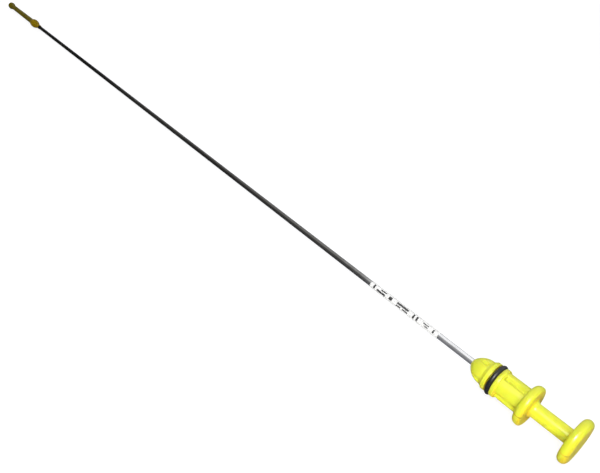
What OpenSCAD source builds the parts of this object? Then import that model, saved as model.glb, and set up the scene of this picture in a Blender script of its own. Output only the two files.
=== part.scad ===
// Engine oil dipstick with a push-in plug handle, lying on its side.
//
// Every piece is drawn along one axis. "Along" is the distance from the outer face of the
// knob towards the measuring tip, so the knob starts at 0. The module lie() then lays the
// finished axis on the table, where it rests on the rim of the knob and on the ball end.

/* [Knob] */
// Diameter of the knob that the fingers pull
knob_d = 24; // [16:0.1:30]
// Thickness of the knob, whose rim is fully rounded
knob_t = 5; // [4:0.1:8]
// Radius of the small fillet where the stem meets the knob
knob_fillet = 0.5; // [0.2:0.1:1]

/* [Stem] */
// Diameter of the round stem between knob and flange
stem_d = 7.8; // [6:0.1:10]
// Clear length of the stem, room for two fingertips
stem_len = 19.7; // [12:0.1:35]
// Radius of the fillet at the foot of the stem
stem_fillet = 2; // [0.5:0.1:3]

/* [Flange] */
// Diameter of the flange that stops the handle on the guide tube
flange_d = 22.1; // [19:0.1:30]
// Thickness of the flange
flange_t = 4.6; // [4.1:0.1:7]
// Radius of the flange's rim on the knob side
flange_knob_rim = 1.4; // [0.5:0.1:1.9]
// Radius of the flange's rim on the plug side
flange_plug_rim = 2.6; // [1:0.1:3.1]

/* [Plug] */
// Diameter of the ribbed plug over its four ribs
plug_d = 14.2; // [13:0.1:15]
// Length of the ribbed plug between flange and inner collar
plug_len = 12.3; // [8:0.1:25]
// Width of one rib
rib_w = 7.3; // [5:0.1:8]
// Radius in the bottom corner of the pockets between the ribs
pocket_r = 0.6; // [0.2:0.1:1]
// Narrow step left between a pocket and the flange or collar beside it
pocket_step = 0.3; // [0.1:0.1:0.6]
// Width of the round notch in the lower rib, beside the inner collar
notch_w = 2; // [1:0.1:4]
// Depth of that notch below the rib's surface
notch_depth = 0.8; // [0.5:0.1:1.8]

/* [Collars] */
// Diameter of the two collars that hold the seal ring
collar_d = 15.86; // [15.2:0.02:16.4]
// Length of the inner collar, on the flange side of the groove
inner_collar_len = 2.4; // [2:0.1:5]
// Length of the cylindrical land of the outer collar
outer_land_len = 1.9; // [1:0.1:4]
// Length of the cone that leads the outer collar down to the nose
lead_len = 1.6; // [1:0.1:4]

/* [Seal ring] */
// Inside diameter of the seal ring as it is bought
ring_id = 11.8; // [11:0.1:12.5]
// Diameter of the ring's cord
ring_cord = 2.65; // [2.2:0.05:3]
// Running gap between the ring and the floor and flange-side wall of its groove
ring_gap = 0.02; // [0.01:0.01:0.1]
// Free room between the ring and the tip-side wall of its groove
ring_room = 0.5; // [0.2:0.1:1.2]

/* [Nose] */
// Diameter where the bullet-shaped nose starts
nose_d = 13.5; // [11:0.1:14.5]
// Short cylindrical length before the nose starts to round off
nose_neck = 0.4; // [0.2:0.1:3]
// Length of the rounded part of the nose
nose_len = 8.3; // [5:0.1:14]
// Radius of the nose's blunt end, where the rod leaves it
nose_end_r = 1.95; // [1.9:0.05:3]

/* [Rod] */
// Diameter of the steel rod
rod_d = 3.4; // [2.5:0.1:3.6]
// Length of rod in view, from the nose to the measuring tip
rod_len = 585.5; // [300:0.5:900]
// Depth of the rod's end inside the handle
handle_seat = 26; // [12:0.5:28]
// Depth of the rod's other end inside the measuring tip
tip_seat = 30; // [10:0.5:60]
// Chamfer on both ends of the rod
rod_chamfer = 0.3; // [0.1:0.1:0.6]
// Radial gap between the rod and the bores that it sits in
rod_gap = 0.02; // [0.01:0.01:0.1]

/* [Label] */
// Distance from the nose to the near end of the wrapped label
label_from_nose = 22.5; // [5:0.5:120]
// Length of the label along the rod
label_len = 50; // [20:1:80]
// Thickness of the label
label_t = 0.12; // [0.08:0.01:0.3]

/* [Measuring tip] */
// Length of the thin sleeve where the rod enters the tip
sleeve_len = 7; // [2:0.5:12]
// Diameter of that sleeve at its free end
sleeve_end_d = 4.2; // [4:0.1:4.4]
// Diameter of the sleeve where it meets the olive, a little less than the olive's own end
sleeve_foot_d = 4.4; // [4.2:0.1:4.5]
// Diameter of the olive that guides the tip down the tube
olive_d = 8.4; // [6.5:0.1:10]
// Length of the olive on the rod side of its widest place
olive_rod_side = 8; // [5:0.5:14]
// Length of the olive on the shaft side of its widest place
olive_shaft_side = 6; // [5:0.5:14]
// Diameter of the olive's narrow end, where the sleeve begins
olive_end_d = 4.6; // [4.5:0.1:5.5]
// Diameter of the shaft at the olive
shaft_d = 5.4; // [4.6:0.1:6]
// Diameter of the shaft at the ball end, a little less because of the moulding draft
shaft_end_d = 4.9; // [4.4:0.1:5.4]
// Length of the shaft between olive and ball centre
shaft_len = 66.5; // [50:0.5:120]
// Diameter of the ball end
ball_d = 7.4; // [6:0.1:9]
// Length of the cone that blends the ball into the shaft
ball_neck_len = 4; // [3:0.5:8]
// Angle from the ball's widest circle back to where that cone meets it, in degrees
ball_blend = 35; // [20:1:50]
// Distance from the ball's centre to the lower level mark
low_mark_from_ball = 18; // [8:1:30]
// Distance between the lower and the upper level mark
mark_spacing = 28; // [10:1:40]
// Width of a level mark, a shallow ring groove
mark_w = 1.2; // [0.6:0.1:2]
// Depth of a level mark
mark_depth = 0.3; // [0.1:0.05:0.4]

/* [Lying pose] */
// Turn of the dipstick about its own axis as it lies
lie_roll = -3; // [-45:1:45]

/* [Hidden] */
$fn = 64;
// Finer steps for the long, flat arcs of the nose and the olive
long_arc_fn = 256;

yellow = [0.93, 0.94, 0.25];
rubber_black = [0.08, 0.08, 0.09];
steel_grey = [0.42, 0.43, 0.45];
label_white = [0.95, 0.95, 0.94];
tip_yellow = [0.55, 0.48, 0.10];

// Directions about the axis, in degrees: the first of the four ribs, and the rib with the notch
first_rib = 45;
notch_rib = -135;

knob_r = knob_d / 2;
stem_r = stem_d / 2;
flange_r = flange_d / 2;
plug_r = plug_d / 2;
collar_r = collar_d / 2;
nose_r = nose_d / 2;
rod_r = rod_d / 2;
olive_r = olive_d / 2;
ball_r = ball_d / 2;

// Places along the axis, each where the named feature starts
flange_at = knob_t + stem_len;
plug_at = flange_at + flange_t;
inner_collar_at = plug_at + plug_len;
notch_at = inner_collar_at - pocket_step - notch_w / 2;
groove_at = inner_collar_at + inner_collar_len;
groove_w = ring_cord + ring_gap + ring_room;
outer_collar_at = groove_at + groove_w;
lead_at = outer_collar_at + outer_land_len;
nose_at = lead_at + lead_len;
dome_at = nose_at + nose_neck;
nose_end = dome_at + nose_len;
ring_at = groove_at + ring_gap + ring_cord / 2;
ring_r = ring_id / 2 + ring_cord / 2;
groove_floor_r = ring_id / 2 - ring_gap;
label_at = nose_end + label_from_nose;
tip_at = nose_end + rod_len;
olive_foot_at = tip_at + sleeve_len;
olive_at = olive_foot_at + olive_rod_side;
shaft_at = olive_at + olive_shaft_side;
ball_at = shaft_at + shaft_len;
low_mark_at = ball_at - low_mark_from_ball;
high_mark_at = low_mark_at - mark_spacing;
neck_at = ball_at - ball_neck_len;

// The shoulder of the inner collar is a quarter round from the ribs up to the collar
shoulder_r = collar_r - plug_r;

// Lying pose: the floor touches the knob's rounded rim and the ball end
rim_r = knob_t / 2;
rim_ring_r = knob_r - rim_r;
contact_span = ball_at - rim_r;
lie_tilt = atan(rim_ring_r / contact_span)
    + asin((rim_r - ball_r) / sqrt(pow(contact_span, 2) + pow(rim_ring_r, 2)));
knob_height = rim_ring_r * cos(lie_tilt) + rim_r;

// Reach of the laid part to both sides of the knob's middle, which puts the origin halfway
knob_side_x = rim_r + rim_ring_r * sin(lie_tilt);
tip_side_x = contact_span * cos(lie_tilt) + ball_r;
knob_end_x = (tip_side_x - knob_side_x) / 2 + rim_r * cos(lie_tilt);

// Small overlap where one cutting solid has to pass through a face
cut = 1;

// Lays the axis on the table: along the axis becomes minus X, and the origin is on the
// floor, halfway along the length of the laid part
module lie() {
    translate([knob_end_x, 0, knob_height + rim_r * sin(lie_tilt)])
        rotate([0, -90 - lie_tilt, 0])
            rotate([0, 0, lie_roll])
                children();
}

// Half section of a disc with a fully rounded rim
module round_disc_section(radius, thickness) {
    square([radius - thickness / 2, thickness]);
    translate([radius - thickness / 2, thickness / 2])
        circle(d = thickness);
}

// Half section of the flange: a small rim radius on the knob side, a large one on the plug side
module flange_section() {
    square([flange_r - flange_plug_rim, flange_t]);
    square([flange_r - flange_knob_rim, flange_t - flange_plug_rim]);
    translate([0, flange_knob_rim])
        square([flange_r, flange_t - flange_knob_rim - flange_plug_rim]);
    translate([flange_r - flange_knob_rim, flange_knob_rim])
        circle(r = flange_knob_rim);
    translate([flange_r - flange_plug_rim, flange_t - flange_plug_rim])
        circle(r = flange_plug_rim);
}

// Concave fillet in the half section, between a face and a cylinder of the given radius
module fillet_section(radius, fillet) {
    difference() {
        translate([radius - cut, -cut])
            square([fillet + cut, fillet + cut]);
        translate([radius + fillet, fillet])
            circle(r = fillet);
    }
}

// Half section of an arc that bulges away from the axis: widest at its start
module ogive_section(wide_r, end_r, length) {
    drop = wide_r - end_r;
    arc_r = (length * length + drop * drop) / (2 * drop);
    intersection() {
        translate([wide_r - arc_r, 0])
            circle(r = arc_r, $fn = long_arc_fn);
        square([wide_r, length]);
    }
}

// Half section of the whole moulded handle, before its pockets are cut
module handle_section() {
    round_disc_section(knob_r, knob_t);
    translate([0, rim_r])
        square([stem_r, flange_at]);
    translate([0, knob_t])
        fillet_section(stem_r, knob_fillet);
    translate([0, flange_at])
        mirror([0, 1])
            fillet_section(stem_r, stem_fillet);
    translate([0, flange_at])
        flange_section();
    translate([0, flange_at])
        square([plug_r, flange_t + plug_len + shoulder_r]);
    translate([plug_r, inner_collar_at + shoulder_r])
        circle(r = shoulder_r);
    translate([0, inner_collar_at + shoulder_r])
        square([collar_r, inner_collar_len - shoulder_r]);
    translate([0, groove_at - cut])
        square([groove_floor_r, groove_w + 2 * cut]);
    translate([0, outer_collar_at])
        square([collar_r, outer_land_len]);
    polygon([[0, lead_at], [collar_r, lead_at], [nose_r, nose_at], [0, nose_at]]);
    translate([0, nose_at])
        square([nose_r, nose_neck]);
    translate([0, dome_at])
        ogive_section(nose_r, nose_end_r, nose_len);
}

// One pocket between two ribs: a square corner with a rounded bottom edge
module rib_pocket(from, length) {
    translate([rib_w / 2, rib_w / 2, from])
        linear_extrude(length) {
            translate([pocket_r, 0])
                square([plug_r, plug_r]);
            translate([0, pocket_r])
                square([plug_r, plug_r]);
            translate([pocket_r, pocket_r])
                circle(r = pocket_r);
        }
}

// Moulded handle: knob, stem, flange, ribbed plug, ring groove and bullet nose
module handle() {
    color(yellow)
        lie()
            difference() {
                rotate_extrude()
                    handle_section();
                for (turn = [0:90:270])
                    rotate([0, 0, first_rib + turn]) {
                        rib_pocket(plug_at + pocket_step, plug_len - 2 * pocket_step);
                        rib_pocket(nose_at + pocket_step, nose_neck + nose_len);
                    }
                lower_rib_notch();
                translate([0, 0, nose_end - handle_seat])
                    cylinder(r = rod_r + rod_gap, h = handle_seat + cut);
            }
}

// Round-bottomed notch across the lower rib, against the inner collar
module lower_rib_notch() {
    rotate([0, 0, notch_rib])
        translate([plug_r - notch_depth + notch_w / 2, 0, notch_at]) {
            rotate([90, 0, 0])
                cylinder(d = notch_w, h = rib_w + cut, center = true);
            translate([notch_depth / 2, 0, 0])
                cube([notch_depth, rib_w + cut, notch_w], center = true);
        }
}

// Rubber seal ring, seated against the flange-side wall of its groove
module seal_ring() {
    color(rubber_black)
        lie()
            translate([0, 0, ring_at])
                rotate_extrude()
                    translate([ring_r, 0])
                        circle(d = ring_cord);
}

// Straight steel rod, chamfered at both ends and held in the handle and in the tip
module rod() {
    full_len = handle_seat + rod_len + tip_seat - 2 * rod_gap;
    color(steel_grey)
        lie()
            translate([0, 0, nose_end - handle_seat + rod_gap])
                rotate_extrude()
                    polygon([
                        [0, 0], [rod_r - rod_chamfer, 0], [rod_r, rod_chamfer],
                        [rod_r, full_len - rod_chamfer], [rod_r - rod_chamfer, full_len],
                        [0, full_len]
                    ]);
}

// Label wrapped once round the rod
module label_sleeve() {
    color(label_white)
        lie()
            translate([0, 0, label_at])
                difference() {
                    cylinder(r = rod_r + rod_gap + label_t, h = label_len);
                    translate([0, 0, -cut])
                        cylinder(r = rod_r + rod_gap, h = label_len + 2 * cut);
                }
}

// Moulded measuring tip: sleeve, guide olive, tapered shaft with two level marks, and ball end
module level_tip() {
    color(tip_yellow)
        lie()
            difference() {
                rotate_extrude() {
                    translate([0, olive_at])
                        ogive_section(olive_r, shaft_d / 2, olive_shaft_side);
                    translate([0, olive_at])
                        mirror([0, 1])
                            ogive_section(olive_r, olive_end_d / 2, olive_rod_side);
                    polygon([
                        [0, tip_at], [sleeve_end_d / 2, tip_at],
                        [sleeve_foot_d / 2, olive_foot_at + cut], [0, olive_foot_at + cut]
                    ]);
                    polygon([
                        [0, shaft_at], [shaft_d / 2, shaft_at],
                        [shaft_end_d / 2, neck_at], [0, neck_at]
                    ]);
                    polygon([
                        [0, neck_at], [shaft_end_d / 2, neck_at],
                        [ball_r * cos(ball_blend), ball_at - ball_r * sin(ball_blend)], [0, ball_at]
                    ]);
                    translate([0, ball_at])
                        intersection() {
                            circle(r = ball_r);
                            translate([0, -ball_r])
                                square([ball_r, 2 * ball_r]);
                        }
                }
                for (mark_at = [low_mark_at, high_mark_at])
                    level_mark(mark_at);
                translate([0, 0, tip_at - cut])
                    cylinder(r = rod_r + rod_gap, h = tip_seat + cut);
            }
}

// One level mark: a shallow square groove right round the shaft
module level_mark(at) {
    shaft_slope = (shaft_d - shaft_end_d) / 2 / (neck_at - shaft_at);
    local_r = shaft_d / 2 - shaft_slope * (at - shaft_at);
    translate([0, 0, at - mark_w / 2])
        difference() {
            cylinder(r = shaft_d, h = mark_w);
            translate([0, 0, -cut])
                cylinder(r = local_r - mark_depth, h = mark_w + 2 * cut);
        }
}

handle();
seal_ring();
rod();
label_sleeve();
level_tip();
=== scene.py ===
"""Visual model of an engine oil dipstick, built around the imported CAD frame.

All lengths are in millimetres until a mesh is made, and each surface is worked out in the
dipstick's own coordinates: a distance along its axis from the knob's outer face, a radius,
and an angle about the axis. One class turns those into the row frame, in metres.
"""

import logging
import math
from collections.abc import Callable, Iterable
from dataclasses import dataclass
from enum import Enum
from functools import partial

import bpy
import numpy as np
from mathutils import Matrix

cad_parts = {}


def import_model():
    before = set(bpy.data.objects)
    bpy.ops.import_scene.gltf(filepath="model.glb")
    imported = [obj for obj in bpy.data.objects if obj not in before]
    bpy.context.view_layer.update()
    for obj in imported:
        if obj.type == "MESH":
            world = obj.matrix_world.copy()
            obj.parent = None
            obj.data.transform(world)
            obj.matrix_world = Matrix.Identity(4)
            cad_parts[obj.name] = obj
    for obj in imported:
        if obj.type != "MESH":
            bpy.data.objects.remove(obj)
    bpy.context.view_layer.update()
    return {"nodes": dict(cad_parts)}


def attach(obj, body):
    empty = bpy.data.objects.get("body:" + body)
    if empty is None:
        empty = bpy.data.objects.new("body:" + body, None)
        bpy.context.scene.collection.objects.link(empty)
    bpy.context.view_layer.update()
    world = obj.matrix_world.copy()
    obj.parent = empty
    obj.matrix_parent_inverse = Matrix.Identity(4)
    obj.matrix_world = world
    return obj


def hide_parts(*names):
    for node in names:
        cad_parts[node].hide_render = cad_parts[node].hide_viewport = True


LOG = logging.getLogger("dipstick")
MM = 0.001
FULL_TURN = 360.0
PHOTO_WIDTH_PX = 600
Array = np.ndarray
Pair = tuple[float, float]
Triple = tuple[float, float, float]
Material = bpy.types.Material
Adder = Callable[..., bpy.types.Node]


class Shade(Enum):
    """Which vertex attribute a mesh carries for its material."""

    # the handle's parting-line dirt plus painted shade
    SEAM_AND_SHADE = "seam_and_shade"
    INK = "ink"
    OIL = "oil"


def linear(hex_code: str) -> tuple[float, float, float, float]:
    """Turns an sRGB hex colour into Blender's linear colour.

    Args:
        hex_code: six hex digits, such as "F2F35A".

    Returns:
        Linear red, green and blue, and an alpha of 1.
    """
    parts = np.array([int(hex_code[i : i + 2], 16) for i in (0, 2, 4)]) / 255.0
    lin = np.where(parts <= 0.04045, parts / 12.92, ((parts + 0.055) / 1.055) ** 2.4)
    return (*map(float, lin), 1.0)


def add_node(
    tree: bpy.types.NodeTree,
    kind: str,
    inputs: dict[str | int, object] | None = None,
    **settings: str,
) -> bpy.types.Node:
    """Adds one node, sets its properties, and fills or links its inputs.

    Args:
        tree: the node tree that gets the node.
        kind: Blender's type name of the node.
        inputs: socket names or numbers, each with a value, with an output socket to link
            from, or with a node whose first output is linked.
        **settings: property names and values.

    Returns:
        The new node.
    """
    node = tree.nodes.new(kind)
    for name, value in settings.items():
        setattr(node, name, value)
    for key, value in (inputs or {}).items():
        if isinstance(value, bpy.types.Node):
            value = value.outputs[0]
        if isinstance(value, bpy.types.NodeSocket):
            tree.links.new(value, node.inputs[key])
        else:
            node.inputs[key].default_value = value
    return node


def set_ramp(node: bpy.types.Node, stops: list[tuple[float, str]]) -> None:
    """Gives a colour ramp its stops.

    Args:
        node: the ramp node.
        stops: places from 0 to 1, each with an sRGB hex colour.
    """
    elements = node.color_ramp.elements
    while len(elements) < len(stops):
        elements.new(0.5)
    for element, (place, hex_code) in zip(elements, stops):
        element.position = place
        element.color = linear(hex_code)


def fresh_material(name: str) -> tuple[Material, Adder]:
    """Makes a material without nodes.

    Args:
        name: the material's name.

    Returns:
        The material, and add_node bound to its empty node tree.
    """
    material = bpy.data.materials.new(name)
    material.use_nodes = True
    material.node_tree.nodes.clear()
    return material, partial(add_node, material.node_tree)


@dataclass(frozen=True)
class GlossyYellowPlastic:
    """Injection-moulded polypropylene in signal yellow.

    The eye sees a clean lemon yellow with a soft gloss from the polished mould. Light soaks
    in a little. The side turned from the lamps, the stem's foot and the pockets' corners get
    painted shade, a warm deeper yellow that is never grey. A thin parting line collects a
    trace of dirt.
    """

    base: str = "EFF441"
    # painted shade: the warm yellow of the side turned from the lamps, the stem's foot and the
    # pockets' corners
    painted_shade: str = "F6D834"
    # the parting line's dirt; sums of painted shade past the middle stop also lean towards it
    grime_and_shade: str = "6A5A1E"
    painted_shade_at: float = 0.5
    roughness: float = 0.3
    sheen: float = 0.4
    ior: float = 1.49
    soak: float = 0.6
    soak_tint: Triple = (1.0, 0.85, 0.2)
    soak_depth_m: float = 0.0025
    ripple_mm: float = 3.0
    ripple_strength: float = 0.05
    ripple_deep_m: float = 0.0002

    def build(self) -> Material:
        """Makes the material.

        Returns:
            The finished material.
        """
        material, add = fresh_material("moulded_polypropylene_yellow")
        coords = add("ShaderNodeTexCoord").outputs["Object"]
        # parting-line dirt plus painted shade, which the ramp turns into colour
        seam_and_shade = add("ShaderNodeAttribute", attribute_name=Shade.SEAM_AND_SHADE.value).outputs["Fac"]
        scale = 1.0 / (self.ripple_mm * MM)
        ripple = add("ShaderNodeTexNoise", {"Vector": coords, "Scale": scale})
        tone = add("ShaderNodeValToRGB", {"Fac": seam_and_shade})
        set_ramp(tone, [(0.0, self.base), (self.painted_shade_at, self.painted_shade), (1.0, self.grime_and_shade)])
        bump = add(
            "ShaderNodeBump",
            {"Height": ripple, "Strength": self.ripple_strength, "Distance": self.ripple_deep_m},
        )
        shader = add(
            "ShaderNodeBsdfPrincipled",
            {
                "Base Color": tone,
                "Roughness": self.roughness,
                "IOR": self.ior,
                "Specular IOR Level": self.sheen,
                "Subsurface Weight": self.soak,
                "Subsurface Radius": self.soak_tint,
                "Subsurface Scale": self.soak_depth_m,
                "Normal": bump,
            },
        )
        add("ShaderNodeOutputMaterial", {"Surface": shader})
        return material


@dataclass(frozen=True)
class MouldedRubber:
    """Nitrile rubber, compression moulded.

    The eye sees a satin black ring with one dull highlight and a faint bloom of grey dust.
    """

    base: str = "121213"
    bloom: str = "2B2B2C"
    bloom_from: float = 0.4
    bloom_full: float = 0.75
    bloom_mm: float = 1.5
    bloom_strength: float = 0.15
    bloom_deep_m: float = 0.0001
    roughness: float = 0.4
    sheen: float = 0.4
    ior: float = 1.52

    def build(self) -> Material:
        """Makes the material.

        Returns:
            The finished material.
        """
        material, add = fresh_material("moulded_nitrile_rubber_black")
        coords = add("ShaderNodeTexCoord").outputs["Object"]
        scale = 1.0 / (self.bloom_mm * MM)
        cloud = add("ShaderNodeTexNoise", {"Vector": coords, "Scale": scale, "Detail": 4.0})
        tone = add("ShaderNodeValToRGB", {"Fac": cloud})
        set_ramp(tone, [(self.bloom_from, self.base), (self.bloom_full, self.bloom)])
        bump = add(
            "ShaderNodeBump",
            {"Height": cloud, "Strength": self.bloom_strength, "Distance": self.bloom_deep_m},
        )
        shader = add(
            "ShaderNodeBsdfPrincipled",
            {
                "Base Color": tone,
                "Roughness": self.roughness,
                "IOR": self.ior,
                "Specular IOR Level": self.sheen,
                "Normal": bump,
            },
        )
        add("ShaderNodeOutputMaterial", {"Surface": shader})
        return material


@dataclass(frozen=True)
class DrawnSteelWire:
    """Spring steel wire, cold drawn and then oiled by use.

    The eye sees a bright grey rod near the handle with fine lengthwise draw lines. Towards
    the tip the surface has been dipped in hot oil so often that a matt film covers it, and its
    colour darkens to nearly black: partly the oil, and partly painted shade for the light that
    falls off towards the far end.

    The darkening runs along the row's X axis, from 0 at clean_x_m to 1 at dark_x_m. The four
    colours lie at the four stops of it, and the bare metal gives way to the film between
    bare_until and filmed_from.
    """

    colours: tuple[str, str, str, str] = ("E6E7E9", "6F6E6C", "403F3D", "0C0C0B")
    stops: tuple[float, float, float, float] = (0.05, 0.18, 0.42, 0.8)
    clean_x_m: float = 0.29
    dark_x_m: float = -0.28
    bare_until: float = 0.4
    filmed_from: float = 0.8
    roughness: float = 0.21
    film_roughness: float = 0.45
    film_sheen: float = 0.02
    blotch: float = 0.1
    blotches_per_m: float = 90.0
    line_mm: float = 0.12
    line_squeeze: float = 0.01
    line_strength: float = 0.25
    line_deep_m: float = 0.00005

    def build(self) -> Material:
        """Makes the material.

        Returns:
            The finished material.
        """
        material, add = fresh_material("drawn_steel_wire_oiled")
        coords = add("ShaderNodeTexCoord").outputs["Object"]
        split = add("ShaderNodeSeparateXYZ", {"Vector": coords})
        # 0 at the clean end, 1 at the dark end: oil film, plus painted shade for the light falling
        #                                        off
        oil_and_shade = add(
            "ShaderNodeMapRange",
            {"Value": split, "From Min": self.clean_x_m, "From Max": self.dark_x_m},
        )
        squeeze = (self.line_squeeze, 1.0, 1.0)
        stretched = add("ShaderNodeMapping", {"Vector": coords, "Scale": squeeze})
        scale = 1.0 / (self.line_mm * MM)
        lines = add("ShaderNodeTexNoise", {"Vector": stretched, "Scale": scale, "Detail": 3.0})
        film = add(
            "ShaderNodeTexNoise",
            {"Vector": coords, "Scale": self.blotches_per_m, "Detail": 3.0},
        )
        # blotches of oil over the darkening, which is partly painted shade
        tip_tone = add("ShaderNodeMath", {0: film, 1: self.blotch, 2: oil_and_shade}, operation="MULTIPLY_ADD")
        tone = add("ShaderNodeValToRGB", {"Fac": tip_tone})
        set_ramp(tone, list(zip(self.stops, self.colours)))
        bare = add(
            "ShaderNodeMapRange",
            {"Value": oil_and_shade, "From Min": self.filmed_from, "From Max": self.bare_until},
        )
        dull = add(
            "ShaderNodeMapRange",
            {"Value": oil_and_shade, "To Min": self.roughness, "To Max": self.film_roughness},
        )
        bump = add(
            "ShaderNodeBump",
            {"Height": lines, "Strength": self.line_strength, "Distance": self.line_deep_m},
        )
        shader = add(
            "ShaderNodeBsdfPrincipled",
            {
                "Base Color": tone,
                "Metallic": bare,
                "Roughness": dull,
                "Specular IOR Level": self.film_sheen,
                "Normal": bump,
            },
        )
        add("ShaderNodeOutputMaterial", {"Surface": shader})
        return material


@dataclass(frozen=True)
class PrintedFilm:
    """White polyester label film with black thermal-transfer fields.

    The eye sees a matt white band with crisp dark blocks, a little softened at the edges.
    """

    paper: str = "FAFAF9"
    ink: str = "2A2A2C"
    roughness: float = 0.55
    ior: float = 1.45

    def build(self) -> Material:
        """Makes the material.

        Returns:
            The finished material.
        """
        material, add = fresh_material("polyester_label_film_printed")
        ink = add("ShaderNodeAttribute", attribute_name=Shade.INK.value).outputs["Fac"]
        tone = add("ShaderNodeValToRGB", {"Fac": ink})
        set_ramp(tone, [(0.0, self.paper), (1.0, self.ink)])
        shader = add(
            "ShaderNodeBsdfPrincipled",
            {"Base Color": tone, "Roughness": self.roughness, "IOR": self.ior},
        )
        add("ShaderNodeOutputMaterial", {"Surface": shader})
        return material


@dataclass(frozen=True)
class OilStainedPlastic:
    """Injection-moulded polyamide in dark yellow, stained by engine oil.

    The eye sees an olive-brown plastic, brighter mustard where it is wiped, made nearly matt
    by years in hot oil.
    """

    wiped: str = "907406"
    base: str = "6C600A"
    stained: str = "40380A"
    stops: Triple = (0.25, 0.65, 1.0)
    smears_per_m: float = 400.0
    smear: float = 0.35
    roughness: float = 0.45
    sheen: float = 0.02
    ior: float = 1.53

    def build(self) -> Material:
        """Makes the material.

        Returns:
            The finished material.
        """
        material, add = fresh_material("moulded_polyamide_oil_stained")
        coords = add("ShaderNodeTexCoord").outputs["Object"]
        oil = add("ShaderNodeAttribute", attribute_name=Shade.OIL.value).outputs["Fac"]
        cloud = add(
            "ShaderNodeTexNoise",
            {"Vector": coords, "Scale": self.smears_per_m, "Detail": 4.0},
        )
        mixed = add("ShaderNodeMath", {0: cloud, 1: self.smear, 2: oil}, operation="MULTIPLY_ADD")
        tone = add("ShaderNodeValToRGB", {"Fac": mixed})
        set_ramp(tone, list(zip(self.stops, (self.wiped, self.base, self.stained))))
        shader = add(
            "ShaderNodeBsdfPrincipled",
            {
                "Base Color": tone,
                "Roughness": self.roughness,
                "IOR": self.ior,
                "Specular IOR Level": self.sheen,
            },
        )
        add("ShaderNodeOutputMaterial", {"Surface": shader})
        return material


@dataclass(frozen=True)
class LyingAxis:
    """Place of the dipstick's axis as it lies on the knob's rim and on the ball.

    knob_x is the row's X of the knob's outer face on the axis, knob_z its height, tilt the
    slope of the axis in degrees and roll the turn about it.
    """

    knob_x: float = 367.95723
    knob_z: float = 12.027813
    tilt: float = 0.65152702
    roll: float = -3.0

    def place(self, along: Array, radius: Array, angle: Array) -> Array:
        """Turns the dipstick's own coordinates into the row frame.

        The rise off the axis is radius times the cosine of the angle plus the roll, the side
        shift is radius times its sine. Both are then turned by the axis's slope.

        Args:
            along: distances from the knob's outer face, in mm.
            radius: distances from the axis, in mm.
            angle: angles about the axis, in degrees, 0 pointing up.

        Returns:
            Points in metres, with the inputs' common shape and a last axis of three.
        """
        turn = np.radians(angle + self.roll)
        rise = radius * np.cos(turn)
        side = radius * np.sin(turn)
        slope = math.radians(self.tilt)
        x = self.knob_x - along * math.cos(slope) - rise * math.sin(slope)
        z = self.knob_z - along * math.sin(slope) + rise * math.cos(slope)
        return np.stack(np.broadcast_arrays(x, side, z), axis=-1) * MM


def smooth_step(value: Array, start: float, end: float) -> Array:
    """Rises from 0 to 1 between start and end, as three t squared minus two t cubed."""
    t = np.clip((value - start) / (end - start), 0.0, 1.0)
    return t * t * (3.0 - 2.0 * t)


def between(value: Array, low: float, high: float, soft: float) -> Array:
    """1 between low and high and 0 outside, with edges softened by soft to both sides."""
    rise = smooth_step(value, low - soft, low + soft)
    return rise * (1.0 - smooth_step(value, high - soft, high + soft))


def smooth_min(a: Array, b: Array, reach: float) -> Array:
    """Smaller of two values, with the corner between them rounded over the given reach.

    Args:
        a: first values.
        b: second values.
        reach: difference below which the two are blended, in mm.

    Returns:
        The smaller value, less a quarter of the reach times the square of their nearness.
    """
    near = np.clip(1.0 - np.abs(a - b) / reach, 0.0, 1.0)
    return np.minimum(a, b) - near * near * reach * 0.25


def rounded_outline(corners: Array, radii: Array, steps: int = 7) -> Array:
    """Rounds each corner of an open outline by an arc that is tangent to both its sides.

    At each corner the arc's centre lies on the bisector, at the radius divided by the sine
    of half the corner's angle, and the arc is swept by interpolating on the circle.

    Args:
        corners: points of the outline, one row for each, (along, radius) in mm.
        radii: rounding radius at each corner, 0 for a sharp one or an end.
        steps: points on each arc.

    Returns:
        The rounded outline's points.
    """
    before = np.vstack([corners[:1] - (1.0, 0.0), corners[:-1]])
    after = np.vstack([corners[1:], corners[-1:] + (1.0, 0.0)])
    to_a = before - corners
    to_b = after - corners
    to_a /= np.linalg.norm(to_a, axis=1, keepdims=True)
    to_b /= np.linalg.norm(to_b, axis=1, keepdims=True)
    half = np.arccos(np.clip(np.sum(to_a * to_b, axis=1), -1.0, 1.0)) / 2.0
    flat = half > math.radians(89.5)
    half = np.where(flat, math.radians(45.0), half)
    reach = radii / np.tan(half)
    middle = to_a + to_b
    middle /= np.maximum(np.linalg.norm(middle, axis=1, keepdims=True), 1e-9)
    centre = corners + middle * (radii / np.sin(half))[:, None]
    start = corners + to_a * reach[:, None] - centre
    end = corners + to_b * reach[:, None] - centre
    sweep = (math.pi - 2.0 * half)[:, None, None]
    share = np.linspace(0.0, 1.0, steps)[None, :, None]
    swept = np.sin((1.0 - share) * sweep) * start[:, None, :]
    swept = swept + np.sin(share * sweep) * end[:, None, :]
    arcs = centre[:, None, :] + swept / np.sin(sweep)
    sharp = (radii <= 0.0) | flat
    arcs[sharp] = corners[sharp][:, None, :]
    keep = np.ones(arcs.shape[:2], dtype=bool)
    keep[sharp, 1:] = False
    return arcs[keep]


def bulging_arc(wide: float, end: float, start_at: float, length: float, steps: int) -> Array:
    """Arc that is tangent to the axis's direction where it is widest.

    Its radius is (length squared plus drop squared) over twice the drop, so that it passes
    through the narrow end as well.

    Args:
        wide: radius at the widest place, in mm.
        end: radius at the narrow end.
        start_at: place of the widest point along the axis.
        length: signed distance from there to the narrow end.
        steps: number of points.

    Returns:
        Points (along, radius) from the widest place to the narrow end.
    """
    drop = wide - end
    bend = (length * length + drop * drop) / (2.0 * drop)
    reach = np.linspace(0.0, length, steps)
    return np.column_stack([start_at + reach, wide - bend + np.sqrt(bend * bend - reach * reach)])


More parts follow.
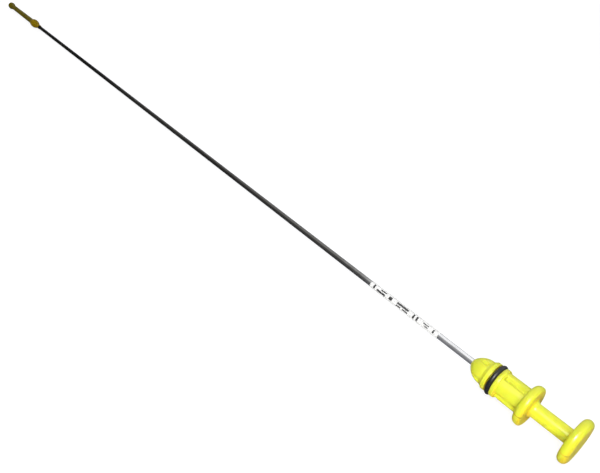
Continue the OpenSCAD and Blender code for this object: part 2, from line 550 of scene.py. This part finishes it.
def refine(outline: Array, dense: list[Triple]) -> Array:
    """Adds points on an outline's straight runs.

    The new points are the old ones, others at equal steps, and finer ones wherever a dense
    zone lies on the outer skin.

    Args:
        outline: points (along, radius) in mm.
        dense: zones as (along start, along end, step) in mm.

    Returns:
        The refined outline.
    """
    longest, bore_limit, samples = 1.0, 2.0, 20000
    steps = np.linalg.norm(np.diff(outline, axis=0), axis=1)
    run = np.concatenate([[0.0], np.cumsum(steps)])
    count = np.maximum(np.ceil(np.diff(run) / longest).astype(int), 1)
    extra = [np.linspace(run[i], run[i + 1], n + 1)[1:-1] for i, n in enumerate(count)]
    spots = np.concatenate([run, *extra])
    fine = np.linspace(0.0, run[-1], samples)
    fine_along = np.interp(fine, run, outline[:, 0])
    outside = np.interp(fine, run, outline[:, 1]) > bore_limit
    for low, high, step in dense:
        inside = fine[(fine_along >= low) & (fine_along <= high) & outside]
        if inside.size:
            pieces = max(int((inside[-1] - inside[0]) / step), 1)
            spots = np.concatenate([spots, np.linspace(inside[0], inside[-1], pieces + 1)])
    spots = np.unique(np.round(spots, 4))
    return np.column_stack([np.interp(spots, run, outline[:, side]) for side in (0, 1)])


def mesh_object(
    name: str,
    points: Array,
    quads: Array,
    triangles: Array | None = None,
    shades: dict[Shade, Array] | None = None,
) -> bpy.types.Object:
    """Makes a smooth-shaded object at the origin from arrays.

    Args:
        name: the piece's name.
        points: vertices in metres, one row for each.
        quads: rows of four vertex numbers.
        triangles: rows of three vertex numbers.
        shades: values from 0 to 1 for each vertex, stored as attributes.

    Returns:
        The new object, linked to the scene.
    """
    mesh = bpy.data.meshes.new(name)
    fans = [] if triangles is None else triangles.tolist()
    mesh.from_pydata(points.tolist(), [], quads.tolist() + fans)
    for shade, values in (shades or {}).items():
        layer = mesh.attributes.new(shade.value, "FLOAT", "POINT")
        layer.data.foreach_set("value", values.astype(np.float32).ravel())
    mesh.polygons.foreach_set("use_smooth", np.ones(len(mesh.polygons), dtype=bool))
    mesh.validate()
    mesh.update()
    piece = bpy.data.objects.new(name, mesh)
    bpy.context.scene.collection.objects.link(piece)
    return piece


def grid_quads(rows: int, columns: int, loops: tuple[int, int]) -> Array:
    """Quads that join a grid of vertices, which are numbered row by row.

    Args:
        rows: number of rows.
        columns: vertices in each row.
        loops: 1 where the last row, or the last column, joins the first, or else 0.

    Returns:
        Rows of four vertex numbers.
    """
    number = np.arange(rows * columns).reshape(rows, columns)
    number = np.pad(number, [(0, loops[0]), (0, loops[1])], mode="wrap")
    corners = [number[:-1, :-1], number[:-1, 1:], number[1:, 1:], number[1:, :-1]]
    return np.stack(corners, axis=-1).reshape(-1, 4)


def closed_skin(
    name: str,
    axis: LyingAxis,
    along: Array,
    radius: Array,
    angle: Array,
    shades: dict[Shade, Array],
) -> bpy.types.Object:
    """Closed skin round the axis: a grid of rings with a pole at each end.

    Row i is a ring at along[i] whose radius at angle[j] is radius[i, j]. The poles lie on the
    axis at the first and last rings' places, and join them by fans of triangles.

    Args:
        name: the piece's name.
        axis: where the dipstick lies.
        along: one place for each ring, in mm.
        radius: radii, rings by columns, in mm.
        angle: one angle for each column, in degrees.
        shades: attribute values, rings by columns.

    Returns:
        The new object.
    """
    rings, columns = radius.shape
    grid = axis.place(along[:, None], radius, angle[None, :]).reshape(-1, 3)
    ends = axis.place(along[[0, -1]], np.zeros(2), np.zeros(2))
    quads = grid_quads(rings, columns, (0, 1))
    ring = np.arange(columns)
    after = np.roll(ring, -1)
    last = (rings - 1) * columns
    pole = np.full(columns, rings * columns)
    near_fan = np.column_stack([pole, after, ring])
    far_fan = np.column_stack([pole + 1, last + ring, last + after])
    full = {key: np.append(values.ravel(), values[[0, -1], 0]) for key, values in shades.items()}
    return mesh_object(name, np.vstack([grid, ends]), quads, np.vstack([near_fan, far_fan]), full)


@dataclass
class Handle:
    """Moulded handle in one piece: knob, stem, flange, ribbed plug, ring groove and nose.

    The skin is the rounded outline carried round the axis. Between the ribs its radius is cut
    back to a cross whose arms are rib_w wide: its radius is the larger of half that width over
    the sine and over the cosine of the angle from a rib.
    """

    axis: LyingAxis
    knob_r: float = 11.98
    knob_t: float = 5.0
    knob_fillet: float = 0.5
    stem_r: float = 3.9
    stem_len: float = 19.7
    stem_fillet: float = 2.0
    flange_r: float = 11.05
    flange_t: float = 4.6
    flange_knob_rim: float = 1.4
    flange_plug_rim: float = 2.6
    plug_r: float = 7.1
    plug_len: float = 12.3
    plug_fillet: float = 0.12
    rib_w: float = 7.3
    rib_reach: float = 0.5
    pocket_r: float = 0.6
    pocket_step: float = 0.3
    pocket_wall: float = 0.3
    notch_w: float = 2.0
    notch_depth: float = 0.8
    notch_reach: float = 0.15
    notch_half_deg: float = 60.0
    collar_r: float = 7.93
    inner_collar_len: float = 2.4
    groove_w: float = 3.17
    groove_floor_r: float = 5.88
    outer_land_len: float = 1.9
    lead_len: float = 1.6
    lead_fillet: float = 0.3
    nose_r: float = 6.75
    nose_neck: float = 0.4
    nose_len: float = 8.3
    nose_end_r: float = 1.95
    bore_r: float = 1.72
    bore_depth: float = 26.0
    pole_r: float = 0.4
    edge: float = 0.18
    first_rib: float = 45.0
    notch_rib: float = -135.0
    seam_angle: float = -77.0
    seam_w: float = 0.2
    seam_on_knob: float = 0.6
    seam_from_r: Pair = (8.0, 11.0)
    # painted shade: the stem's foot, the side turned from the lamps and the pockets' corners
    foot_w: float = 0.5
    foot_reach: float = 3.0
    foot_shade: float = 0.2
    warm_shade: float = 0.5
    away_shade: float = 0.55
    crease_shade: float = 0.06
    crease_depth: Pair = (1.4, 1.95)
    shaded_from: Triple = (0.75, -0.50, -0.43)
    shaded_edge: Pair = (0.35, 1.0)
    lit_from: Triple = (0.19, -0.41, 0.89)
    lit_edge: Pair = (-0.2, 0.5)
    columns: int = 288

    def __post_init__(self) -> None:
        """Works out where each feature starts along the axis."""
        self.flange_at = self.knob_t + self.stem_len
        self.plug_at = self.flange_at + self.flange_t
        self.inner_collar_at = self.plug_at + self.plug_len
        self.groove_at = self.inner_collar_at + self.inner_collar_len
        self.outer_collar_at = self.groove_at + self.groove_w
        self.lead_at = self.outer_collar_at + self.outer_land_len
        self.nose_at = self.lead_at + self.lead_len
        self.dome_at = self.nose_at + self.nose_neck
        self.nose_end = self.dome_at + self.nose_len
        self.pockets_from = self.plug_at + self.pocket_step
        self.pockets_to = self.inner_collar_at - self.pocket_step
        self.nose_pockets_from = self.nose_at + self.pocket_step
        self.skin_r = self.bore_r + 0.3

    def outline(self) -> Array:
        """Outline of the handle from the knob's face to the end of the rod's bore.

        Returns:
            Points (along, radius) in mm.
        """
        rim = self.knob_t / 2.0 - 0.001
        shoulder = self.collar_r - self.plug_r - 0.05
        corners = np.array(
            [
                (0.0, self.pole_r, 0.0),
                (0.0, self.knob_r, rim),
                (self.knob_t, self.knob_r, rim),
                (self.knob_t, self.stem_r, self.knob_fillet),
                (self.flange_at, self.stem_r, self.stem_fillet),
                (self.flange_at, self.flange_r, self.flange_knob_rim),
                (self.plug_at, self.flange_r, self.flange_plug_rim),
                (self.plug_at, self.plug_r, self.plug_fillet),
                (self.inner_collar_at, self.plug_r, 0.05),
                (self.inner_collar_at, self.collar_r, shoulder),
                (self.groove_at, self.collar_r, self.edge),
                (self.groove_at, self.groove_floor_r, self.edge),
                (self.outer_collar_at, self.groove_floor_r, self.edge),
                (self.outer_collar_at, self.collar_r, self.edge),
                (self.lead_at, self.collar_r, self.edge),
                (self.nose_at, self.nose_r, self.lead_fillet),
            ]
        )
        body = rounded_outline(corners[:, :2], corners[:, 2])
        dome = bulging_arc(self.nose_r, self.nose_end_r, self.dome_at, self.nose_len, 26)
        bore = [
            (self.nose_end, self.bore_r + 0.05),
            (self.nose_end - 0.1, self.bore_r),
            (self.nose_end - self.bore_depth, self.bore_r),
            (self.nose_end - self.bore_depth, self.pole_r),
        ]
        before, past, fine, medium = 0.1, 0.5, 0.06, 0.12
        dense = [
            (self.pockets_from - before, self.pockets_from + past, fine),
            (self.pockets_to - past, self.inner_collar_at - before, fine),
            (self.nose_pockets_from - before, self.nose_pockets_from + past, fine),
            (self.pockets_to - self.notch_w - 0.2, self.inner_collar_at - 0.3, medium),
        ]
        return refine(np.vstack([body, dome, bore]), dense)

    def cross_radius(self, angle: Array) -> Array:
        """Distance from the axis to the cross-shaped core, in each direction.

        Args:
            angle: directions about the axis, in degrees.

        Returns:
            Radii in mm, with the inner corners filled by the pocket's rounding.
        """
        off = np.radians(angle - self.first_rib)
        half = self.rib_w / 2.0
        one = half / np.maximum(np.abs(np.sin(off)), 1e-3)
        other = half / np.maximum(np.abs(np.cos(off)), 1e-3)
        return -smooth_min(-one, -other, self.pocket_r * 2.0)

    def notch_radius(self, along: Array, angle: Array) -> Array:
        """Distance from the axis to the round-bottomed notch that crosses the lower rib.

        The notch is a cylinder across the rib: its floor stands off the axis by the rib's
        radius less the depth, and rises as a circle to both sides.

        Args:
            along: places along the axis, one column.
            angle: directions about the axis, one row.

        Returns:
            Radii in mm, very large away from the notch.
        """
        far_r, least = 50.0, 0.02
        half = self.notch_w / 2.0
        shift = np.abs(along - (self.pockets_to - half))
        rise = half - np.sqrt(np.maximum(half * half - shift * shift, 0.0))
        floor = np.where(shift < half, self.plug_r - self.notch_depth + rise, far_r)
        off = (angle - self.notch_rib + 180.0) % FULL_TURN - 180.0
        facing = np.where(np.abs(off) < self.notch_half_deg, np.cos(np.radians(off)), least)
        return floor / facing

    def turned_away(self, along: Array, radius: Array, angle: Array) -> Array:
        """Share of painted warm shade at each place of the skin.

        The normal is the cross product of the steps along the axis and about it. The painted shade
        is full towards the knob's side, away from all lamps, and half as strong wherever the skin
        just turns away from the light above.

        Args:
            along: places along the axis, one column.
            radius: radii, rings by columns.
            angle: directions about the axis, one row.

        Returns:
            Values from 0, in full light, to 1, facing away.
        """
        points = self.axis.place(along, radius, angle)
        forward = np.gradient(points, axis=0)
        around = np.roll(points, -1, axis=1) - np.roll(points, 1, axis=1)
        normal = np.cross(around, forward)
        normal /= np.maximum(np.linalg.norm(normal, axis=-1, keepdims=True), 1e-12)
        side = smooth_step(normal @ np.array(self.shaded_from), *self.shaded_edge)
        away = 1.0 - smooth_step(normal @ np.array(self.lit_from), *self.lit_edge)
        return np.maximum(side, self.away_shade * away)

    def seam_shade(self, along: Array, full: Array, radius: Array, angle: Array) -> Array:
        """Dirt on the parting line, and painted shade at the stem's foot, shaded side and pocket
        corners.

        The line is a bell curve of the distance from the parting line's plane that fades out
        towards the faces of knob and flange. The foot's painted shade is one of the distance along
        the axis.

        Args:
            along: places along the axis, one column.
            full: radii of the uncut outline.
            radius: radii, rings by columns.
            angle: directions about the axis, one row.

        Returns:
            Values from 0, clean and unshaded, to 1: dirt on the parting line plus painted shade.
        """
        off = (angle - self.seam_angle + 90.0) % 180.0 - 90.0
        distance = np.radians(off) * radius
        line = np.exp(-((distance / self.seam_w) ** 2))
        line = line * smooth_step(radius, *self.seam_from_r)
        line = line * np.where(along < self.knob_t, self.seam_on_knob, 1.0)
        # painted shade in the corner where the stem meets the flange
        foot = np.exp(-(((along - self.flange_at) / self.foot_w) ** 2))
        foot = foot * (radius < self.stem_r + self.foot_reach)
        # painted shade in the pockets' inmost corners
        crease = smooth_step(full - radius, *self.crease_depth) * (radius > self.skin_r)
        shade = line + self.foot_shade * foot
        # painted warm shade on the side turned from the lamps
        shade = shade + self.warm_shade * self.turned_away(along, radius, angle)
        return np.clip(shade + self.crease_shade * crease, 0.0, 1.0)

    def build(self, finish: Material) -> bpy.types.Object:
        """Makes the handle's skin and dresses it.

        The pockets start in a short steep wall. Those of the plug end in one too, and those
        of the nose run out on its curve.

        Args:
            finish: the handle's material.

        Returns:
            The piece that stands for the CAD node.
        """
        outline = self.outline()
        along = outline[:, :1]
        angle = np.arange(self.columns)[None, :] * (FULL_TURN / self.columns)
        full = np.broadcast_to(outline[:, 1:], (len(outline), self.columns))
        outer = (outline[:, 1:] > self.skin_r) & (along > self.plug_at)
        wall = self.pocket_wall
        plug = smooth_step(along, self.pockets_from, self.pockets_from + wall)
        plug = plug * (1.0 - smooth_step(along, self.pockets_to - wall, self.pockets_to))
        nose = smooth_step(along, self.nose_pockets_from, self.nose_pockets_from + wall)
        mask = np.where(along < self.groove_at, plug, nose) * outer
        cross = np.broadcast_to(self.cross_radius(angle), full.shape)
        radius = full * (1.0 - mask) + smooth_min(full, cross, self.rib_reach) * mask
        notched = smooth_min(radius, self.notch_radius(along, angle), self.notch_reach)
        radius = np.where(outer & (along < self.inner_collar_at), notched, radius)
        # one attribute for the parting line's dirt and the painted shade
        shades = {Shade.SEAM_AND_SHADE: self.seam_shade(along, full, radius, angle)}
        piece = closed_skin("handle_moulding", self.axis, outline[:, 0], radius, angle[0], shades)
        piece.data.materials.append(finish)
        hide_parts("handle")
        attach(piece, "root")
        return piece


@dataclass
class SealRing:
    """Rubber ring in its groove: a circle carried round the axis, with a faint mould flash."""

    axis: LyingAxis
    at: float = 45.345
    inside_r: float = 5.9
    cord: float = 2.65
    slack: float = 0.005
    flash: float = 0.03
    flash_reach: float = 0.08
    columns: int = 160
    rows: int = 40

    def build(self, finish: Material) -> bpy.types.Object:
        """Makes the ring and dresses it.

        The section's radius is half the cord plus a thin ridge where the mould halves met,
        on the outermost line.

        Args:
            finish: the rubber.

        Returns:
            The piece that stands for the CAD node.
        """
        turn = np.arange(self.rows) * (2.0 * math.pi / self.rows)
        ridge = self.flash * np.exp(-((np.sin(turn) / self.flash_reach) ** 2))
        section = self.cord / 2.0 - self.slack + ridge * (np.cos(turn) > 0.0)
        along = self.at + section * np.sin(turn)
        radius = self.inside_r + self.cord / 2.0 + section * np.cos(turn)
        angle = np.arange(self.columns) * (FULL_TURN / self.columns)
        grid = self.axis.place(along[:, None], radius[:, None], angle[None, :])
        quads = grid_quads(self.rows, self.columns, (1, 1))
        piece = mesh_object("seal_ring_rubber", grid.reshape(-1, 3), quads)
        piece.data.materials.append(finish)
        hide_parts("seal_ring")
        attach(piece, "root")
        return piece


@dataclass
class Label:
    """Film label wrapped once round the rod, its far end lapped over its near end.

    Each field is a block of print: its limits along the label in mm, and its limits across
    the label's face as shares of the print's height.
    """

    axis: LyingAxis
    start: float = 81.87
    length: float = 50.0
    inside_r: float = 1.72
    film: float = 0.12
    film_share: float = 0.98
    lap_deg: float = 22.0
    lap_at_deg: float = 150.0
    lap_rise: Pair = (335.0, 365.0)
    lap_gap: float = 0.01
    rows: int = 400
    columns: int = 72
    fields: tuple[tuple[float, float, float, float], ...] = (
        (2.6, 3.6, 0.20, 0.80),
        (6.5, 10.5, 0.56, 0.74),
        (6.5, 9.0, 0.26, 0.44),
        (14.0, 15.2, 0.12, 0.88),
        (16.4, 17.6, 0.12, 0.88),
        (21.0, 29.5, 0.50, 0.84),
        (21.0, 25.0, 0.14, 0.36),
        (26.2, 29.5, 0.14, 0.36),
        (33.0, 35.4, 0.22, 0.78),
        (38.0, 44.5, 0.12, 0.46),
        (38.0, 42.0, 0.62, 0.84),
        (46.2, 47.4, 0.12, 0.88),
    )
    face_deg: float = -37.0
    print_height: float = 3.6
    print_edge: float = 0.1

    def ink(self, along: Array, angle: Array) -> Array:
        """Amount of ink on the film: plain blocks and bars.

        A block is where the place along the label and the height across its face both lie
        between the block's limits, with edges softened over a fifth of a millimetre.

        Args:
            along: distances from the label's near end, one column, in mm.
            angle: directions about the axis, one row, in degrees.

        Returns:
            Values from 0, bare, to 1, printed.
        """
        off = (angle - self.face_deg + 180.0) % FULL_TURN - 180.0
        across = np.radians(off) * (self.inside_r + self.film) / self.print_height + 0.5
        soft = self.print_edge
        total = np.zeros(np.broadcast(along, across).shape)
        for low, high, left, right in self.fields:
            block = between(along, low, high, soft)
            block = block * between(across, left, right, soft / self.print_height)
            total = np.maximum(total, block)
        return total

    def build(self, finish: Material) -> bpy.types.Object:
        """Makes the wrapped film and dresses it.

        The film's radius is the rod's, and rises by one film thickness over the last part of
        the turn, where it lies on its own beginning.

        Args:
            finish: the printed film.

        Returns:
            The piece that stands for the CAD node.
        """
        sweep = np.linspace(0.0, 1.0, self.columns) * (FULL_TURN + self.lap_deg)
        angle = self.lap_at_deg + sweep
        lift = smooth_step(sweep, *self.lap_rise) * (self.film + self.lap_gap)
        radius = self.inside_r + self.film + lift
        along = self.start + np.linspace(0.0, self.length, self.rows)
        grid = self.axis.place(along[:, None], radius[None, :], angle[None, :])
        quads = grid_quads(self.rows, self.columns, (0, 0))
        shades = {Shade.INK: self.ink(along[:, None] - self.start, angle[None, :])}
        piece = mesh_object("label_film", grid.reshape(-1, 3), quads, shades=shades)
        shell = piece.modifiers.new("film_thickness", "SOLIDIFY")
        shell.thickness = self.film * MM * self.film_share
        piece.data.materials.append(finish)
        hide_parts("label_sleeve")
        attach(piece, "root")
        return piece


@dataclass
class LevelTip:
    """Moulded measuring tip in one piece: sleeve, guide olive, shaft, two marks, ball end."""

    axis: LyingAxis
    start: float = 644.87
    sleeve_len: float = 7.0
    sleeve_end_r: float = 2.1
    sleeve_foot_r: float = 2.2
    sleeve_edge: float = 0.08
    olive_r: float = 4.2
    olive_rod_side: float = 8.0
    olive_shaft_side: float = 6.0
    olive_end_r: float = 2.3
    shaft_r: float = 2.7
    shaft_end_r: float = 2.45
    shaft_len: float = 66.5
    ball_r: float = 3.69
    ball_neck_len: float = 4.0
    ball_blend: float = 35.0
    ball_pole: float = 86.0
    low_mark_from_ball: float = 18.0
    mark_spacing: float = 28.0
    mark_w: float = 1.2
    mark_depth: float = 0.3
    mark_edge: float = 0.08
    bore_r: float = 1.72
    bore_depth: float = 30.0
    bore_edge: float = 0.1
    pole_r: float = 0.3
    wiped_oil: float = 0.15
    dipped_oil: float = 0.4
    dipped_from: Pair = (6.0, 18.0)
    mark_oil: float = 0.35
    columns: int = 96

    def __post_init__(self) -> None:
        """Works out where each feature starts along the axis."""
        self.foot_at = self.start + self.sleeve_len
        self.olive_at = self.foot_at + self.olive_rod_side
        self.shaft_at = self.olive_at + self.olive_shaft_side
        self.ball_at = self.shaft_at + self.shaft_len
        low = self.ball_at - self.low_mark_from_ball
        self.marks = (low, low - self.mark_spacing)

    def outline(self) -> Array:
        """Outline from the bottom of the rod's bore, over sleeve, olive and shaft, to the ball.

        Returns:
            Points (along, radius) in mm.
        """
        bore = [
            (self.start + self.bore_depth, self.pole_r),
            (self.start + self.bore_depth, self.bore_r),
            (self.start + self.bore_edge, self.bore_r),
            (self.start, self.bore_r + self.bore_edge),
            (self.start, self.sleeve_end_r - self.sleeve_edge),
            (self.start + self.sleeve_edge, self.sleeve_end_r),
            (self.foot_at - 0.02, self.sleeve_foot_r),
        ]
        rise = bulging_arc(self.olive_r, self.olive_end_r, self.olive_at, -self.olive_rod_side, 18)
        fall = bulging_arc(self.olive_r, self.shaft_r, self.olive_at, self.olive_shaft_side, 16)
        blend = math.radians(self.ball_blend)
        neck = [
            (self.ball_at - self.ball_neck_len, self.shaft_end_r),
            (self.ball_at - self.ball_r * math.sin(blend), self.ball_r * math.cos(blend)),
        ]
        turn = np.linspace(-blend, math.radians(self.ball_pole), 26)[1:]
        ball = np.transpose([self.ball_at + self.ball_r * np.sin(turn), self.ball_r * np.cos(turn)])
        reach = self.mark_w / 2.0 + 0.3
        dense = [(mark - reach, mark + reach, 0.08) for mark in self.marks]
        return refine(np.vstack([bore, rise[::-1], fall[1:], neck, ball]), dense)

    def build(self, finish: Material) -> bpy.types.Object:
        """Makes the tip's skin and dresses it.

        A level mark lowers the radius by its depth between two soft edges. The oil shade
        rises from the wiped olive to the dipped shaft and ball, and is full in the marks.

        Args:
            finish: the stained plastic.

        Returns:
            The piece that stands for the CAD node.
        """
        along, full = self.outline().T
        half = self.mark_w / 2.0
        groove = np.zeros(len(along))
        for mark in self.marks:
            groove = np.maximum(groove, between(along, mark - half, mark + half, self.mark_edge))
        radius = full - groove * self.mark_depth * (full > self.bore_r + 0.3)
        angle = np.arange(self.columns) * (FULL_TURN / self.columns)
        dipped = smooth_step(along - self.foot_at, *self.dipped_from)
        oil = self.wiped_oil + self.dipped_oil * dipped + self.mark_oil * groove
        shape = (len(along), self.columns)
        skin = np.broadcast_to(radius[:, None], shape)
        shades = {Shade.OIL: np.broadcast_to(np.clip(oil, 0.0, 1.0)[:, None], shape)}
        piece = closed_skin("level_tip_moulding", self.axis, along, skin, angle, shades)
        piece.data.materials.append(finish)
        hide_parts("level_tip")
        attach(piece, "root")
        return piece


@dataclass(frozen=True)
class Studio:
    """Pale sweep, soft lamps and the camera at the photograph's angle.

    The camera's place is in metres, and its three axes are unit vectors in the row frame.
    The key lamp hangs above the camera and lights matt and glossy surfaces. The glint is at
    the same place and shows in the gloss alone, and the fill shows in no gloss.
    """

    camera_at: Triple = (0.391323, -0.182473, 0.254965)
    right: Triple = (0.63725, 0.77065, 0.0)
    down: Triple = (0.50922, -0.42107, -0.75060)
    forward: Triple = (-0.578451, 0.478321, -0.660760)
    focal_px: float = 583.3
    sensor_mm: float = 36.0
    floor_half_m: float = 6.0
    floor_tone: str = "7E7F84"
    bounce_tone: str = "B9B8B4"
    floor_glow: float = 0.88
    bright_from: Triple = (-0.30, 0.74, 0.60)
    bright_edge: Pair = (0.3, 0.6)
    room_dim: float = 0.18
    room_bright: float = 0.68
    gloss_gain: float = 0.62
    aim_at: Triple = (0.33, 0.0, 0.01)
    key_at: Triple = (0.577142, -0.531421, 1.170393)
    key_size_m: float = 0.38
    key_power_w: float = 7.9
    glint_power_w: float = 30.0
    fill_at: Triple = (1.25, -1.2, 0.32)
    fill_size_m: float = 0.7
    fill_power_w: float = 14.0

    def camera(self) -> None:
        """Sets the camera from its place, its axes and its focal length in photo pixels."""
        data = bpy.data.cameras.new("photo_camera")
        data.sensor_width = self.sensor_mm
        data.lens = self.focal_px / PHOTO_WIDTH_PX * data.sensor_width
        data.clip_start = 0.01
        data.clip_end = 50.0
        camera = bpy.data.objects.new("photo_camera", data)
        matrix = np.eye(4)
        axes = [self.right, np.negative(self.down), np.negative(self.forward)]
        matrix[:3] = np.column_stack([*axes, self.camera_at])
        camera.matrix_world = Matrix(matrix.tolist())
        bpy.context.scene.collection.objects.link(camera)
        bpy.context.scene.camera = camera

    def floor(self) -> None:
        """Makes the white table, which keeps a soft shadow and looks white to the camera.

        It bounces more light back on the object than it shows, as a white table would.
        """
        half = self.floor_half_m
        corners = [(-half, -half, 0.0), (half, -half, 0.0), (half, half, 0.0), (-half, half, 0.0)]
        floor = mesh_object("floor", np.array(corners), np.array([[0, 1, 2, 3]]))
        material, add = fresh_material("white_table")
        path = add("ShaderNodeLightPath").outputs
        seen = path["Is Camera Ray"]
        glow = add("ShaderNodeMath", {0: seen, 1: self.floor_glow}, operation="MULTIPLY")
        plain = add("ShaderNodeBsdfDiffuse", {"Color": linear(self.floor_tone)})
        bouncing = add("ShaderNodeBsdfDiffuse", {"Color": linear(self.bounce_tone)})
        matt = add("ShaderNodeMixShader", {0: path["Is Diffuse Ray"], 1: plain, 2: bouncing})
        light = add("ShaderNodeEmission", {"Strength": glow})
        both = add("ShaderNodeAddShader", {0: matt, 1: light})
        add("ShaderNodeOutputMaterial", {"Surface": both})
        floor.data.materials.append(material)

    def lamp(self, name: str, at: Triple, size: float, power: float) -> bpy.types.Object:
        """Adds one soft square lamp of white light that faces the handle.

        Args:
            name: the lamp's name.
            at: its place in metres.
            size: its edge length in metres.
            power: its power in watts.

        Returns:
            The lamp.
        """
        data = bpy.data.lights.new(name, "AREA")
        data.size = size
        data.energy = power
        lamp = bpy.data.objects.new(name, data)
        back = np.subtract(at, self.aim_at)
        back /= np.linalg.norm(back)
        side = np.cross([0.0, 0.0, 1.0], back)
        side /= np.linalg.norm(side)
        matrix = np.eye(4)
        matrix[:3] = np.column_stack([side, np.cross(back, side), back, at])
        lamp.matrix_world = Matrix(matrix.tolist())
        bpy.context.scene.collection.objects.link(lamp)
        return lamp

    def world(self) -> None:
        """White to the camera; as light it is a bright sweep behind and a dim room in front.

        The light's strength rises with the cosine between a direction and the middle of the
        bright side. Glossy surfaces see it brighter, so that the steel shows the pale sweep.
        """
        world = bpy.data.worlds.new("studio")
        bpy.context.scene.world = world
        world.use_nodes = True
        world.node_tree.nodes.clear()
        add = partial(add_node, world.node_tree)
        path = add("ShaderNodeLightPath").outputs
        ray = add("ShaderNodeTexCoord").outputs["Generated"]
        facing = add("ShaderNodeVectorMath", {0: ray, 1: self.bright_from}, operation="DOT_PRODUCT")
        strength = add(
            "ShaderNodeMapRange",
            {
                "Value": facing.outputs["Value"],
                "From Min": self.bright_edge[0],
                "From Max": self.bright_edge[1],
                "To Min": self.room_dim,
                "To Max": self.room_bright,
            },
            interpolation_type="SMOOTHSTEP",
        )
        gloss = {0: path["Is Glossy Ray"], 1: self.gloss_gain, 2: 1.0}
        gain = add("ShaderNodeMath", gloss, operation="MULTIPLY_ADD")
        bright = add("ShaderNodeMath", {0: strength, 1: gain}, operation="MULTIPLY")
        white = {"Color": linear("FFFFFF")}
        lit = add("ShaderNodeBackground", {**white, "Strength": bright})
        seen = add("ShaderNodeBackground", white)
        mixed = add("ShaderNodeMixShader", {0: path["Is Camera Ray"], 1: lit, 2: seen})
        add("ShaderNodeOutputWorld", {"Surface": mixed})

    def build(self) -> None:
        """Sets up floor, lamps, world, camera and the plain colour view."""
        self.floor()
        self.lamp("key", self.key_at, self.key_size_m, self.key_power_w)
        glint = self.lamp("glint", self.key_at, self.key_size_m, self.glint_power_w)
        glint.visible_diffuse = False
        fill = self.lamp("fill", self.fill_at, self.fill_size_m, self.fill_power_w)
        fill.visible_glossy = False
        self.world()
        self.camera()
        bpy.context.scene.view_settings.view_transform = "Standard"


def dress_rod(nodes: dict[str, bpy.types.Object], finish: Material) -> None:
    """Gives the CAD rod its steel.

    Args:
        nodes: the CAD nodes by name.
        finish: the steel.
    """
    rod = nodes["rod"]
    rod.data.materials.clear()
    rod.data.materials.append(finish)


def main() -> None:
    """Builds the dipstick piece by piece around the CAD frame, then the studio."""
    logging.basicConfig(level=logging.INFO, format="%(name)s: %(message)s")
    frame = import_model()
    axis = LyingAxis()
    pieces = [
        Handle(axis).build(GlossyYellowPlastic().build()),
        SealRing(axis).build(MouldedRubber().build()),
        Label(axis).build(PrintedFilm().build()),
        LevelTip(axis).build(OilStainedPlastic().build()),
    ]
    dress_rod(frame["nodes"], DrawnSteelWire().build())
    for piece in pieces:
        LOG.info("%s: %d faces", piece.name, len(piece.data.polygons))
    Studio().build()


if __name__ == "__main__":
    main()
